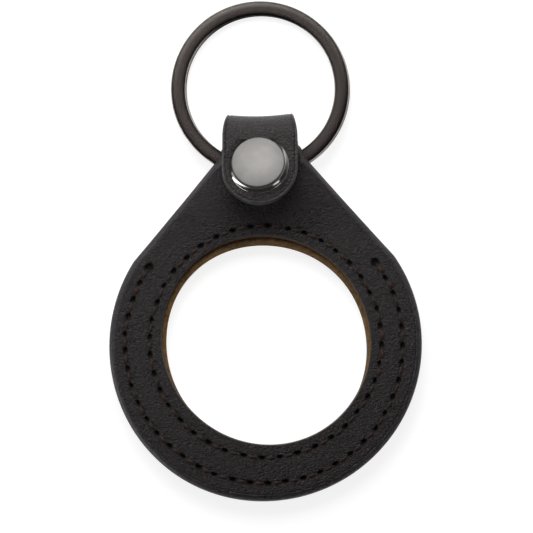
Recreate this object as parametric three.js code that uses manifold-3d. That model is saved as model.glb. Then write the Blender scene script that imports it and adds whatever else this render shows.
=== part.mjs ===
// Medallion holder keychain: a teardrop leather pocket with a round window, closed by a snap strap
// that folds over a flat split ring. It lies on its back. Millimetres, X across, Y towards the ring,
// Z up from the table. Every piece is placed from the centre of the window.
import * as THREE from 'three';
import { mergeVertices } from 'three/addons/utils/BufferGeometryUtils.js';
import Module from 'manifold-3d';

const wasm = await Module();
wasm.setup();
const radians = THREE.MathUtils.degToRad;
const fullTurn = 2 * Math.PI;

// Leather plies
const faceThickness = 1.4;
const liningThickness = 0.8;
const pocketGap = 0.3;
const edgeRound = 0.35;

// Teardrop outline and window
const windowRadius = 17.6;
const liningLip = 0.35;
const panelRadius = 26.2;
const liningTrim = 0.3;
const flankInset = 0.25;
const flankNormal = radians(41);
const stationSpacing = 2.3;
const tongueRows = 3;
const liningSegments = 56;

// Seams
const windowSeamInset = 2.0;
const edgeSeamInset = 2.7;
const edgeSeamEnd = radians(35);
const stitchPitch = 3.0;
const threadDiameter = 0.42;
const threadSeat = 0.03;
const stitchCrown = 0.03;
const grooveWidth = 0.9;
const grooveTaper = 0.1;
const grooveFadeStart = radians(6);
const grooveFadeEnd = radians(11);

// Key ring
const ringDiameter = 30;
const ringWidth = 2.4;
const ringThickness = 1.7;
const ringTilt = radians(6);
const ringBevel = 0.2;
const ringAboveSnap = 0.75;
const coilGap = 0.1;
const crossoverHalfAngle = radians(14);
const ringSteps = 40;

// Tongue, strap and fold
const snapY = 29.3;
const tongueHalfWidth = 7.0;
const tongueReach = 4.4;
const tongueCorner = 2.0;
const riseStart = 0.3;
const strapWidth = 12.6;
const strapBevel = 0.25;
const flapTipReach = 7.2;
const foldStart = 4.1;
const foldReach = 4.1;
const foldSquareness = 2.5;
const foldWaist = 0.8;
const foldSaddle = 0.4;
const flexGap = 0.2;
const foldSteps = 14;
const flapSegments = 18;

// Snap fastener, along its own axis
const capDiameter = 10;
const capHeight = 1.5;
const capBevel = 0.5;
const postRadius = 1.3;
const postRoll = 0.6;
const socketRadius = 4.2;
const socketWall = 0.55;
const socketLip = 0.45;
const socketFloor = 0.3;
const springWire = 0.44;
const springSides = 6;
const springSegments = 8;
const studFlangeRadius = 3.2;
const studFlange = 0.3;
const studNeckRadius = 1.5;
const studHeadRadius = 2.0;
const studHeight = 1.8;
const studHead = 0.65;
const studFlare = 0.3;
const studRound = 0.1;
const eyeletFlangeRadius = 3.0;
const eyeletFlange = 0.4;
const eyeletRadius = 1.1;
const eyeletBore = 0.7;
const eyeletRoll = 0.5;
const rollThickness = 0.2;
const snapClearance = 0.15;
const closeFit = 0.05;
const snapSegments = 24;

// Ring clearance under the tongue
const ringClearance = 0.3;

// Levels of the plies above the table
const backTop = faceThickness;
const backLiningTop = backTop + liningThickness;
const frontLiningBottom = backLiningTop + pocketGap;
const frontInside = frontLiningBottom + liningThickness;

// Seam lines and their grooves
const windowSeam = windowRadius + windowSeamInset;
const edgeSeam = panelRadius - edgeSeamInset;
const grooveDepth = threadDiameter + threadSeat + stitchCrown;

// The ring's far side rests on the table, so its near side is lifted by the tilt.
const ringMeanRadius = (ringDiameter - ringWidth) / 2;
const ringNear = new THREE.Vector3(
  0,
  snapY + ringAboveSnap,
  (ringThickness / 2) * Math.cos(ringTilt) + (ringDiameter - ringWidth / 2) * Math.sin(ringTilt),
);

// The tongue lies over the ring and leans as the ring does.
const tongueDepth = faceThickness * Math.cos(ringTilt);
const tongueUnderRing = ringThickness / 2 + ringClearance + eyeletFlange;
const plateauStart = snapY - eyeletFlangeRadius - snapClearance;
const tongueTip = snapY + tongueReach;
const plateau = (y) =>
  ringNear.z + tongueUnderRing / Math.cos(ringTilt) - Math.tan(ringTilt) * (y - ringNear.y);
const tongueRise = (y) =>
  THREE.MathUtils.smoothstep(y, windowRadius + riseStart, plateauStart) * (plateau(y) - frontInside);

// Heights along the snap's axis, from the top of the tongue
const socketBottom = studFlange + snapClearance;
const eyeletTop = studHeight + rollThickness;
const postEnd = eyeletTop + snapClearance;
const socketFloorZ = postEnd + rollThickness;
const flapUnder = socketFloorZ + socketFloor;
const flapTop = flapUnder + faceThickness;
const flapMiddle = flapUnder + faceThickness / 2;
const strapHalf = strapWidth / 2;
const foldStartY = snapY + foldStart;

const lean = new THREE.Group();
lean.position.set(0, snapY, plateau(snapY) + faceThickness);
lean.rotation.x = -ringTilt;
lean.updateMatrixWorld();
const flapRoot = (foldStartY - snapY - flapMiddle * Math.sin(ringTilt)) / Math.cos(ringTilt);

// Vertices of a finished mesh are shared, so that it is one closed body.
function closedGeometry(geometry) {
  geometry.deleteAttribute('normal');
  geometry.deleteAttribute('uv');
  return mergeVertices(geometry);
}

function solid(geometry) {
  const shared = closedGeometry(geometry);
  return new wasm.Manifold(new wasm.Mesh({
    numProp: 3,
    vertProperties: new Float32Array(shared.attributes.position.array),
    triVerts: new Uint32Array(shared.index.array),
  }));
}

function fromSolid(body) {
  const mesh = body.getMesh();
  const geometry = new THREE.BufferGeometry();
  geometry.setAttribute('position', new THREE.BufferAttribute(mesh.vertProperties, 3));
  geometry.setIndex(new THREE.BufferAttribute(mesh.triVerts, 1));
  return geometry;
}

// Skin over a row of sections with equal point counts. A closed row ends where it began, and an
// open one is capped. The triangles are turned over if they enclose a negative volume.
function loft(sections, closed) {
  const sides = sections[0].length;
  const points = sections.flat();
  const triangles = [];
  const spans = closed ? sections.length : sections.length - 1;
  for (let i = 0; i < spans; i++) {
    const here = i * sides;
    const next = ((i + 1) % sections.length) * sides;
    for (let k = 0; k < sides; k++) {
      const l = (k + 1) % sides;
      triangles.push([here + k, next + k, next + l], [here + k, next + l, here + l]);
    }
  }
  if (!closed) {
    const last = spans * sides;
    for (let k = 1; k < sides - 1; k++) {
      triangles.push([0, k, k + 1], [last, last + k + 1, last + k]);
    }
  }
  const cross = new THREE.Vector3();
  const volume = triangles.reduce(
    (sum, [a, b, c]) => sum + points[a].dot(cross.crossVectors(points[b], points[c])), 0);
  const outward = volume > 0 ? triangles : triangles.map(([a, b, c]) => [a, c, b]);
  const geometry = new THREE.BufferGeometry().setFromPoints(points);
  geometry.setIndex(outward.flat());
  return geometry;
}

// Revolved profile of [radius, height] pairs about Z
function revolve(profile) {
  const points = profile.map(([r, z]) => new THREE.Vector2(r, z));
  const geometry = new THREE.LatheGeometry(points, snapSegments);
  geometry.rotateX(Math.PI / 2);
  return closedGeometry(geometry);
}

// Teardrop: round below, straight flanks, then a neck of the given half width up to endY
function teardrop(halfWidth, endY, corner) {
  const flankDistance = panelRadius - flankInset;
  const shoulder = flankNormal - Math.acos(flankDistance / panelRadius);
  const neckY = (flankDistance - halfWidth * Math.cos(flankNormal)) / Math.sin(flankNormal);
  const path = new THREE.Path();
  path.absarc(0, 0, panelRadius, Math.PI - shoulder, 2 * Math.PI + shoulder, false);
  path.lineTo(halfWidth, neckY);
  path.lineTo(halfWidth, endY - corner);
  path.absarc(halfWidth - corner, endY - corner, corner, 0, Math.PI / 2, false);
  path.lineTo(corner - halfWidth, endY);
  path.absarc(corner - halfWidth, endY - corner, corner, Math.PI / 2, Math.PI, false);
  path.lineTo(-halfWidth, neckY);
  path.closePath();
  return path;
}

function stations(path) {
  const points = [];
  for (const curve of path.curves) {
    const length = curve.getLength();
    const steps = Math.ceil(length / stationSpacing);
    for (let i = 0; i < steps; i++) points.push(curve.getPoint(i / steps));
  }
  return points;
}

// Groove cut for a seam, as [radius, height over the inside face] pairs from the rim inwards
function groove(radius, depth) {
  const half = grooveWidth / 2;
  const floor = faceThickness - depth;
  return [
    [radius + half, faceThickness],
    [radius + half - grooveTaper, floor],
    [radius - half + grooveTaper, floor],
    [radius - half, faceThickness],
  ];
}

// The edge seam's groove runs a little past the last stitch and then fades out.
function edgeGrooveDepth(point) {
  const above = Math.atan2(point.y, Math.abs(point.x)) - edgeSeamEnd;
  return grooveDepth * (1 - THREE.MathUtils.smoothstep(above, grooveFadeStart, grooveFadeEnd));
}

// Face leather as a skin of radial sections from the window to the outline. Heights run from the
// inside face to the outside face: side is 1 for the front and -1 for the back. A panel that bends
// takes extra rows of points beyond the edge seam.
function panel(path, inside, side, rise, bendRows) {
  const sections = stations(path).map((point) => {
    const rim = point.length();
    const radial = point.clone().divideScalar(rim);
    const seamRim = edgeSeam + grooveWidth / 2;
    const span = rim - edgeRound - seamRim;
    const bend = Array.from({ length: bendRows }, (_, i) => seamRim + (span * (i + 1)) / (bendRows + 1));
    const middle = bendRows ? [(windowSeam + edgeSeam) / 2, seamRim] : [];
    const insideRadii = [windowRadius, ...middle, ...bend, rim];
    const profile = [
      ...insideRadii.map((r) => [r, 0]),
      [rim, faceThickness - edgeRound],
      [rim - edgeRound, faceThickness],
      ...bend.toReversed().map((r) => [r, faceThickness]),
      ...groove(edgeSeam, edgeGrooveDepth(point)),
      ...middle.slice(0, 1).map((r) => [r, faceThickness]),
      ...groove(windowSeam, grooveDepth),
      [windowRadius + edgeRound, faceThickness],
      [windowRadius, faceThickness - edgeRound],
    ];
    return profile.map(([r, height]) => {
      const y = r * radial.y;
      return new THREE.Vector3(r * radial.x, y, inside + side * height + rise(y));
    });
  });
  return loft(sections, true);
}

// Lining: a flat ply round the window, cut straight just above the window seam
function lining(bottom) {
  const radius = panelRadius - liningTrim;
  const cut = Math.asin((windowSeam + grooveWidth) / radius);
  const shape = new THREE.Shape();
  shape.absarc(0, 0, radius, Math.PI - cut, 2 * Math.PI + cut, false);
  shape.closePath();
  const hole = new THREE.Path();
  hole.absarc(0, 0, windowRadius - liningLip, 0, fullTurn, true);
  shape.holes.push(hole);
  const geometry = new THREE.ExtrudeGeometry(shape, {
    depth: liningThickness, bevelEnabled: false, curveSegments: liningSegments,
  });
  geometry.translate(0, 0, bottom);
  return closedGeometry(geometry);
}

// Seam thread lying in its groove: it is lowest at each stitch hole and crowned between holes.
function seamThread(radius, start, sweep, floor, side, rise) {
  const closed = sweep === fullTurn;
  const stitches = Math.round((radius * sweep) / stitchPitch);
  const steps = 2 * stitches;
  const half = threadDiameter / 2;
  const sections = Array.from({ length: closed ? steps : steps + 1 }, (_, i) => {
    const angle = start + (sweep * i) / steps;
    const radial = new THREE.Vector3(Math.cos(angle), Math.sin(angle), 0);
    const centre = radial.clone().multiplyScalar(radius);
    centre.z = floor + rise(centre.y) + side * (threadSeat + half + (i % 2) * stitchCrown);
    return [
      centre.clone().addScaledVector(radial, half),
      new THREE.Vector3(centre.x, centre.y, centre.z + half),
      centre.clone().addScaledVector(radial, -half),
      new THREE.Vector3(centre.x, centre.y, centre.z - half),
    ];
  });
  return loft(sections, closed);
}

// Middle line of the fold: a squared half ellipse from the back leg up and over to the flap, sheared
// so that it meets the leaning flap. Its angle runs from -90 to 90 degrees.
const legMiddle = faceThickness / 2;
const flapStart = new THREE.Vector3(0, flapRoot + flexGap, flapMiddle).applyMatrix4(lean.matrix);
const foldMiddle = (legMiddle + flapStart.z) / 2;
function foldPoint(angle) {
  const squared = (v) => Math.sign(v) * Math.abs(v) ** (2 / foldSquareness);
  const swing = THREE.MathUtils.smoothstep(angle, -Math.PI / 2, Math.PI / 2);
  const out = foldReach * squared(Math.cos(angle));
  const y = THREE.MathUtils.lerp(foldStartY, flapStart.y, swing) + out;
  const z = foldMiddle + (flapStart.z - foldMiddle) * squared(Math.sin(angle));
  return new THREE.Vector3(0, y, z - Math.tan(ringTilt) * out * swing);
}

// The strap is drawn in at the bend, and its edges stand out there as bent leather does.
function strapFold() {
  const across = [-1, -0.6, 0, 0.6, 1];
  const nudge = radians(0.5);
  const sections = Array.from({ length: foldSteps + 1 }, (_, i) => {
    const angle = radians(-90 + (180 * i) / foldSteps);
    const middle = foldPoint(angle);
    const tangent = foldPoint(Math.min(angle + nudge, Math.PI / 2))
      .sub(foldPoint(Math.max(angle - nudge, -Math.PI / 2))).normalize();
    if (i === 0) tangent.set(0, 1, 0);
    if (i === foldSteps) tangent.set(0, -Math.cos(ringTilt), Math.sin(ringTilt));
    const outward = new THREE.Vector3(0, tangent.z, -tangent.y);
    const bend = Math.cos(angle) ** 2;
    const half = strapHalf - foldWaist * bend;
    const row = (u, height) => middle.clone()
      .addScaledVector(outward, height + foldSaddle * bend * u * u).setX(u * half);
    const inner = across.map((u) => row(u, -faceThickness / 2));
    const outer = across.map((u) => row(u, faceThickness / 2));
    return [...inner, ...outer.reverse()];
  });
  return loft(sections, false);
}

// Flap of the strap in the snap's leaning frame, with a round free end
function strapFlap() {
  const shape = new THREE.Shape();
  const tipCentre = strapHalf - flapTipReach;
  shape.moveTo(strapHalf, flapRoot);
  shape.lineTo(-strapHalf, flapRoot);
  shape.lineTo(-strapHalf, tipCentre);
  shape.absarc(0, tipCentre, strapHalf, Math.PI, 2 * Math.PI, false);
  shape.closePath();
  const hole = new THREE.Path();
  hole.absarc(0, 0, postRadius + snapClearance, 0, fullTurn, true);
  shape.holes.push(hole);
  const geometry = new THREE.ExtrudeGeometry(shape, {
    depth: faceThickness - 2 * strapBevel, curveSegments: flapSegments, bevelSegments: 2,
    bevelThickness: strapBevel, bevelSize: strapBevel, bevelOffset: -strapBevel,
  });
  geometry.translate(0, 0, flapUnder + strapBevel);
  return closedGeometry(geometry);
}

// Snap cap: flat head with a bevelled rim over the flap, and a post rolled out under the socket
function snapCap() {
  const radius = capDiameter / 2;
  const top = flapTop + capHeight;
  return revolve([
    [0, postEnd],
    [postRadius + postRoll, postEnd],
    [postRadius + postRoll, postEnd + rollThickness],
    [postRadius, postEnd + rollThickness],
    [postRadius, flapTop],
    [radius - capBevel / 2, flapTop],
    [radius, flapTop + capBevel / 2],
    [radius, top - 1.5 * capBevel],
    [radius - capBevel / 3, top - capBevel / 2],
    [radius - capBevel, top],
    [0, top],
  ]);
}

// Socket: a cup under the flap, open below, whose lip keeps the spring in
const socketInner = socketRadius - socketWall;
const lipRadius = socketInner - socketLip;
function snapSocket() {
  const lipTop = socketBottom + rollThickness;
  return revolve([
    [lipRadius, socketBottom],
    [socketRadius - socketWall / 2, socketBottom],
    [socketRadius, socketBottom + socketWall / 2],
    [socketRadius, flapUnder],
    [postRadius + snapClearance, flapUnder],
    [postRadius + snapClearance, socketFloorZ],
    [socketInner, socketFloorZ],
    [socketInner, lipTop],
    [lipRadius, lipTop],
    [lipRadius, socketBottom],
  ]);
}

// Spring: a wire bent to a U, whose two legs lie beside the stud's neck and rest on the lip
function snapSpring() {
  const half = springWire / 2;
  const legX = studNeckRadius + half + closeFit;
  const reach = socketInner - half - closeFit;
  const legEnd = -Math.sqrt(reach ** 2 - legX ** 2);
  const bowCentre = reach - legX - snapClearance;
  const bow = new THREE.Path();
  bow.moveTo(legX, legEnd);
  bow.lineTo(legX, bowCentre);
  bow.absarc(0, bowCentre, legX, 0, Math.PI, false);
  bow.lineTo(-legX, legEnd);
  const points = bow.getPoints(springSegments);
  const z = socketBottom + rollThickness + half + closeFit;
  const sections = points.map((point, i) => {
    const ahead = points[Math.min(i + 1, points.length - 1)];
    const behind = points[Math.max(i - 1, 0)];
    const along = ahead.clone().sub(behind).normalize();
    const aside = new THREE.Vector3(along.y, -along.x, 0);
    return Array.from({ length: springSides }, (_, k) => {
      const turn = (fullTurn * k) / springSides;
      return new THREE.Vector3(point.x, point.y, z)
        .addScaledVector(aside, half * Math.cos(turn))
        .add(new THREE.Vector3(0, 0, half * Math.sin(turn)));
    });
  });
  return loft(sections, false);
}

// Stud: a flange on the tongue and a mushroom head, bored for the eyelet
function snapStud() {
  const bore = eyeletRadius + snapClearance;
  const neckTop = studHeight - studHead;
  return revolve([
    [bore, 0],
    [studFlangeRadius, 0],
    [studFlangeRadius, studFlange],
    [studNeckRadius, studFlange],
    [studNeckRadius, neckTop],
    [studHeadRadius, neckTop + studFlare],
    [studHeadRadius - studRound, studHeight - studRound],
    [studHeadRadius - studFlare, studHeight],
    [bore, studHeight],
    [bore, 0],
  ]);
}

// Eyelet: a flange behind the tongue, with a barrel rolled out over the stud
function snapEyelet() {
  const bottom = -tongueDepth - eyeletFlange;
  return revolve([
    [eyeletBore, bottom],
    [eyeletFlangeRadius, bottom],
    [eyeletFlangeRadius, -tongueDepth - closeFit],
    [eyeletRadius, -tongueDepth - closeFit],
    [eyeletRadius, studHeight],
    [eyeletRadius + eyeletRoll, studHeight],
    [eyeletRadius + eyeletRoll, eyeletTop],
    [eyeletBore, eyeletTop],
    [eyeletBore, bottom],
  ]);
}

// Split ring: a flat bar wound two turns, one on the other, that crosses over between its ends. It is
// made about its own centre, with the crossover on the near side.
function keyRing() {
  const turnThickness = (ringThickness - coilGap) / 2;
  const level = (turnThickness + coilGap) / 2;
  const lay = fullTurn - 2 * crossoverHalfAngle;
  const total = 2 * lay + 2 * crossoverHalfAngle;
  const steps = Math.round((ringSteps * total) / fullTurn);
  const start = -Math.PI / 2 + crossoverHalfAngle;
  const half = ringWidth / 2;
  const thick = turnThickness / 2;
  const bar = [
    [half, thick - ringBevel], [half - ringBevel, thick], [ringBevel - half, thick],
    [-half, thick - ringBevel], [-half, ringBevel - thick], [ringBevel - half, -thick],
    [half - ringBevel, -thick], [half, ringBevel - thick],
  ];
  const sections = Array.from({ length: steps + 1 }, (_, i) => {
    const turned = (total * i) / steps;
    const climb = THREE.MathUtils.smoothstep(turned, lay, lay + 2 * crossoverHalfAngle);
    const z = level * (2 * climb - 1);
    const angle = start + turned;
    return bar.map(([r, h]) => new THREE.Vector3(
      (ringMeanRadius + r) * Math.cos(angle), (ringMeanRadius + r) * Math.sin(angle), z + h));
  });
  return loft(sections, false);
}

// Front panel with the hole for the eyelet through its tongue
function frontPanel() {
  const outline = teardrop(tongueHalfWidth, tongueTip, tongueCorner);
  const sheet = panel(outline, frontInside, 1, tongueRise, tongueRows);
  const drillRadius = eyeletRadius + snapClearance;
  const drill = new THREE.CylinderGeometry(drillRadius, drillRadius, 4 * faceThickness, snapSegments);
  drill.rotateX(Math.PI / 2);
  drill.applyMatrix4(lean.matrix);
  return fromSolid(solid(sheet).subtract(solid(drill)));
}

const finish = (color, roughness, metalness) => () =>
  new THREE.MeshStandardMaterial({ color, roughness, metalness });
const blackLeather = finish(0x201d1c, 0.6, 0);
const tanLeather = finish(0x8a6432, 0.85, 0);
const thread = finish(0x2a1d17, 0.8, 0);
const gunmetal = finish(0x8f8f8d, 0.3, 1);
const darkSteel = finish(0x4d4845, 0.4, 1);

const holder = new THREE.Group();
function add(group, name, geometry, material) {
  const mesh = new THREE.Mesh(geometry, material());
  mesh.name = name;
  group.add(mesh);
}

const flat = () => 0;
const frontFloor = frontInside + faceThickness - grooveDepth;
const edgeStart = Math.PI - edgeSeamEnd;
const edgeSweep = Math.PI + 2 * edgeSeamEnd;
const backPath = teardrop(strapHalf, foldStartY, 0);
add(holder, 'back_panel', panel(backPath, backTop, -1, flat, 0), blackLeather);
add(holder, 'back_lining', lining(backTop), tanLeather);
add(holder, 'front_lining', lining(frontLiningBottom), tanLeather);
add(holder, 'front_panel', frontPanel(), blackLeather);
add(holder, 'window_seam_back', seamThread(windowSeam, 0, fullTurn, grooveDepth, -1, flat), thread);
add(holder, 'window_seam_front', seamThread(windowSeam, 0, fullTurn, frontFloor, 1, tongueRise), thread);
add(holder, 'edge_seam_back', seamThread(edgeSeam, edgeStart, edgeSweep, grooveDepth, -1, flat), thread);
add(holder, 'edge_seam_front', seamThread(edgeSeam, edgeStart, edgeSweep, frontFloor, 1, flat), thread);
add(holder, 'strap_fold', strapFold(), blackLeather);

add(lean, 'snap_eyelet', snapEyelet(), darkSteel);
add(lean, 'snap_stud', snapStud(), gunmetal);
add(lean, 'snap_spring', snapSpring(), darkSteel);
add(lean, 'snap_socket', snapSocket(), gunmetal);
add(lean, 'strap_flap', strapFlap(), blackLeather);
add(lean, 'snap_cap', snapCap(), gunmetal);
holder.add(lean);

const ringFrame = new THREE.Group();
ringFrame.position.copy(ringNear);
ringFrame.rotation.x = -ringTilt;
const ring = keyRing();
ring.translate(0, ringMeanRadius, 0);
add(ringFrame, 'key_ring', ring, darkSteel);
holder.add(ringFrame);

// The part's origin is under the middle of its whole length.
const farEnd = ringNear.y + (ringMeanRadius + ringDiameter / 2) * Math.cos(ringTilt)
  + (ringThickness / 2) * Math.sin(ringTilt);
holder.position.y = -(farEnd - panelRadius) / 2;

export default holder;
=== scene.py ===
"""Looks of the medallion holder keychain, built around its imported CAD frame. Pieces are drawn in
millimetres from the centre of the window and put into the frame, which is in metres."""

import math

import bpy
import numpy as np
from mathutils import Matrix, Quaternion, Vector


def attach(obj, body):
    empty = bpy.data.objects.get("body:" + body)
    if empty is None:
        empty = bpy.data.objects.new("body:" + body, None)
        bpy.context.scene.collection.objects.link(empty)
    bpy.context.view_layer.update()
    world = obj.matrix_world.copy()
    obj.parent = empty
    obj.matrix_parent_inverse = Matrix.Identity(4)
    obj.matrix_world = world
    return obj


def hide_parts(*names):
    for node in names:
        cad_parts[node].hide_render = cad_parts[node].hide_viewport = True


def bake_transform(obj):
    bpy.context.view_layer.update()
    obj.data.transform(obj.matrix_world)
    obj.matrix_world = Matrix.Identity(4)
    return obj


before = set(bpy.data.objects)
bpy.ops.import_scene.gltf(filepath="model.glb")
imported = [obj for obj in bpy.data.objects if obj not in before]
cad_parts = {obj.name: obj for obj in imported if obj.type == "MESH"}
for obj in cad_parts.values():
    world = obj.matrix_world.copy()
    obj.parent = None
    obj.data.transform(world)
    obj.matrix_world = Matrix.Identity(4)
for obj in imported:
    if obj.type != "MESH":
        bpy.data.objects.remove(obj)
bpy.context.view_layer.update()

# Back panel: the black face leather of the back, a teardrop with a round window whose neck runs on
# as the strap. The hide is dyed on its face only, so a fresh cut shows tan. The outer rim is
# rounded, creased along its edge and burnished black.
MM = 0.001
WINDOW_IN_ROW = np.array([0.0, -16.2905, 0.0])
TURN = 2 * math.pi
PLY = 1.4
WINDOW_RADIUS = 17.6
WINDOW_UNDERCUT = 0.15
PANEL_RADIUS = 26.2
FLANK_DISTANCE = 25.95
FLANK_NORMAL = math.radians(41)
RIM_ROUND = 0.85
RIM_DROP = 0.68
RIM_BEVEL = 2 / 1.25
INNER_ROUND = 0.2
WINDOW_ROUND = 0.3
CREASE_INSET = 1.0
CREASE_DEPTH = 0.05
CREASE_WIDTH = 0.17
# Share of the near black painted into the crease: painted shade.
CREASE_PAINTED_SHADE = 0.45
WINDOW_OVAL = 0.3
WINDOW_OVAL_AT = math.radians(-50)
RIM_SWELL = 0.5
RIM_SWELL_AT = math.radians(-130)
RIM_SWELL_SPREAD = 0.73
STATION_SPACING = 0.25
LEAST_LEAN = 0.5
HAIR = 0.01
STRAP_HALF = 6.3
STRAP_START = 33.4
STRAP_ROUND = 0.28
LEATHER_DARK = (0.0030, 0.0019, 0.0018, 1)
LEATHER_LIGHT = (0.0085, 0.0060, 0.0058, 1)
# Paler grey painted where the holder is lit more: painted light.
LEATHER_PAINTED_LIGHT = (0.0300, 0.0260, 0.0265, 1)
LEATHER_SHEEN = (1.0, 0.95, 0.97, 1)
# Near black painted into stitch holes and creases: painted shade.
HOLE_PAINTED_SHADE = (0.0025, 0.0017, 0.0013, 1)
CUT_TAN = (0.17, 0.105, 0.055, 1)
CUT_BROWN = (0.055, 0.030, 0.013, 1)


def smooth(value, low, high):
    """Smooth step: 0 up to low, 1 from high, and three t squared less two t cubed between them."""
    t = np.clip((value - low) / (high - low), 0, 1)
    return t * t * (3 - 2 * t)


def bell(value, width):
    """Bell curve: e to the minus square of value over width."""
    return np.exp(-((value / width) ** 2))


def grid_faces(rows, columns, close_rows=False):
    """Quads between neighbours of a grid of points numbered row by row. The columns close on
    themselves, and so do the rows if they are closed."""
    row = np.arange(rows if close_rows else rows - 1)[:, None]
    here, there = row * columns, (row + 1) % rows * columns
    k = np.arange(columns)[None, :]
    k_next = (k + 1) % columns
    corners = np.broadcast_arrays(here + k, there + k, there + k_next, here + k_next)
    return np.stack(corners, -1).reshape(-1, 4)


def make_piece(name, points, faces, caps=(), marks=None, sharp=40):
    """Mesh of points in millimetres from the window's centre. Faces are quads and caps are flat
    polygons; all are turned over if the volume that the quads enclose is negative. Marks are
    values kept on the points for the finish, and edges bent by more than sharp degrees stay so."""
    points = np.asarray(points, float).reshape(-1, 3)
    a, b, c, d = (points[faces[:, n]] - points.mean(0) for n in range(4))
    volume = (np.cross(a, b) * c).sum() + (np.cross(a, c) * d).sum()
    polygons = faces.tolist() + np.asarray(caps, int).tolist()
    if volume < 0:
        polygons = [polygon[::-1] for polygon in polygons]
    mesh = bpy.data.meshes.new(name)
    mesh.from_pydata(((points + WINDOW_IN_ROW) * MM).tolist(), [], polygons)
    mesh.polygons.foreach_set("use_smooth", np.ones(len(polygons), bool))
    mesh.set_sharp_from_angle(angle=math.radians(sharp))
    for mark, values in (marks or {}).items():
        layer = mesh.attributes.new(mark, "FLOAT", "POINT")
        layer.data.foreach_set("value", np.asarray(values, np.float32).ravel())
    made = bpy.data.objects.new(name, mesh)
    bpy.context.scene.collection.objects.link(made)
    return made


class Wire:
    """A shader socket that takes part in Python arithmetic: each operator adds one Math node."""

    def __init__(self, tree, socket=None):
        self.tree, self.socket = tree, socket

    def node(self, kind, settings, values, output=0):
        """Adds a node, sets its settings, then the values or links of its sockets."""
        made = self.tree.nodes.new(kind)
        for name, value in settings.items():
            setattr(made, name, value)
        for name, value in values.items():
            if isinstance(value, Wire):
                self.tree.links.new(value.socket, made.inputs[name])
            else:
                made.inputs[name].default_value = value
        return Wire(self.tree, made.outputs[output])

    def math(self, operation, a, b):
        """One Math node on two values."""
        return self.node("ShaderNodeMath", {"operation": operation}, {0: a, 1: b})

    def __add__(self, other):
        return self.math("ADD", self, other)

    __radd__ = __add__

    def __sub__(self, other):
        return self.math("SUBTRACT", self, other)

    def __rsub__(self, other):
        return self.math("SUBTRACT", other, self)

    def __mul__(self, other):
        return self.math("MULTIPLY", self, other)

    __rmul__ = __mul__

    def step(self, low, high):
        """Smooth step of the value from low to high."""
        return self.node("ShaderNodeMapRange", {"interpolation_type": "SMOOTHSTEP"},
                         {"Value": self, "From Min": low, "From Max": high})

    def blend(self, first, second):
        """Colour that goes from first to second as the value goes from 0 to 1."""
        return self.node("ShaderNodeMix", {"data_type": "RGBA"},
                         {"Factor": self, 6: first, 7: second}, 2)

    def noise(self, place, scale, detail=2.0, roughness=0.5, distortion=0.0):
        """Noise of about 0 to 1 at a number of features per metre."""
        return self.node("ShaderNodeTexNoise", {},
                         {"Vector": place, "Scale": scale, "Detail": detail,
                          "Roughness": roughness, "Distortion": distortion})

    def stretched(self, place, scale):
        """Place with each axis multiplied."""
        return self.node("ShaderNodeMapping", {}, {"Vector": place, "Scale": scale})

    def place(self):
        """Place on the piece, in metres."""
        return self.node("ShaderNodeTexCoord", {}, {}, "Object")

    def mark(self, name):
        """Value kept on the mesh's points."""
        return self.node("ShaderNodeAttribute", {"attribute_name": name}, {}, "Fac")

    def relief(self, height, distance, strength=1.0):
        """Normal of a surface raised by height times distance in metres."""
        return self.node("ShaderNodeBump", {}, {"Height": height, "Distance": distance,
                                                "Strength": strength})


def new_finish(name, **constants):
    """Material with constant shader sockets, its shader and a wire to start from."""
    material = bpy.data.materials.new(name)
    material.use_nodes = True
    shader = material.node_tree.nodes["Principled BSDF"]
    for socket, value in constants.items():
        shader.inputs[socket.replace("_", " ")].default_value = value
    return material, shader, Wire(material.node_tree)


def join(shader, **wires):
    """Links wires to the shader's sockets, named with low lines for spaces."""
    for socket, wire in wires.items():
        wire.tree.links.new(wire.socket, shader.inputs[socket.replace("_", " ")])


def black_leather():
    """Fine wrinkles that run across the hide, pores between them, and a slow change of tone.
    Points marked pit are stitch holes and creases, painted near black: painted shade. Points
    marked cut are raw edges with layered fibres, points marked rim are burnished smooth, and the
    last mark lays on a paler, polished grey as painted light where the holder is lit more."""
    material, shader, wire = new_finish("black_leather", Specular_IOR_Level=0.38,
                                        Specular_Tint=LEATHER_SHEEN, Coat_Roughness=0.28)
    place = wire.place()
    wrinkles = wire.noise(wire.stretched(place, (0.85, 1.15, 1.0)), 2300, detail=4.0,
                          roughness=0.6, distortion=0.6)
    closer = wire.stretched(place, (0.8, 1.1, 1.0))
    pores = wire.node("ShaderNodeTexVoronoi", {"feature": "F1"},
                      {"Vector": closer, "Scale": 2600}, "Distance")
    tone = wire.noise(place, 130, detail=3.0)
    grain = wrinkles.step(0.3, 0.7) * 0.6 + pores.step(0.15, 0.75) * 0.4
    pit, cut, rim = wire.mark("pit"), wire.mark("cut"), wire.mark("rim")
    painted_light = wire.mark("painted_light")
    dyed = (grain * 0.55 + tone.step(0.25, 0.75) * 0.45).blend(LEATHER_DARK, LEATHER_LIGHT)
    # Painted light: a paler grey where the holder is lit more, none where the flap's shadow falls.
    face = (painted_light * (0.6 + grain * 0.4)).blend(dyed, LEATHER_PAINTED_LIGHT)
    layers = wire.stretched(place, (1.0, 1.0, 6.0))
    fibres = wire.noise(layers, 1400, detail=3.0, roughness=0.65)
    raw = fibres.step(0.3, 0.7).blend(CUT_BROWN, CUT_TAN)
    matt = 0.36 + grain * 0.08 + tone * 0.08 + cut * 0.3 + pit * 0.3
    height = grain * (1 - rim * 0.6) + fibres * cut * 0.6
    # Stitch holes and creases take the near black: painted shade.
    join(shader, Base_Color=pit.blend(cut.blend(face, raw), HOLE_PAINTED_SHADE),
         Roughness=matt - rim * 0.06 - painted_light * 0.06, Coat_Weight=rim * 0.25,
         Normal=wire.relief(height, distance=0.00024))
    return material


leather_finish = black_leather()


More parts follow.
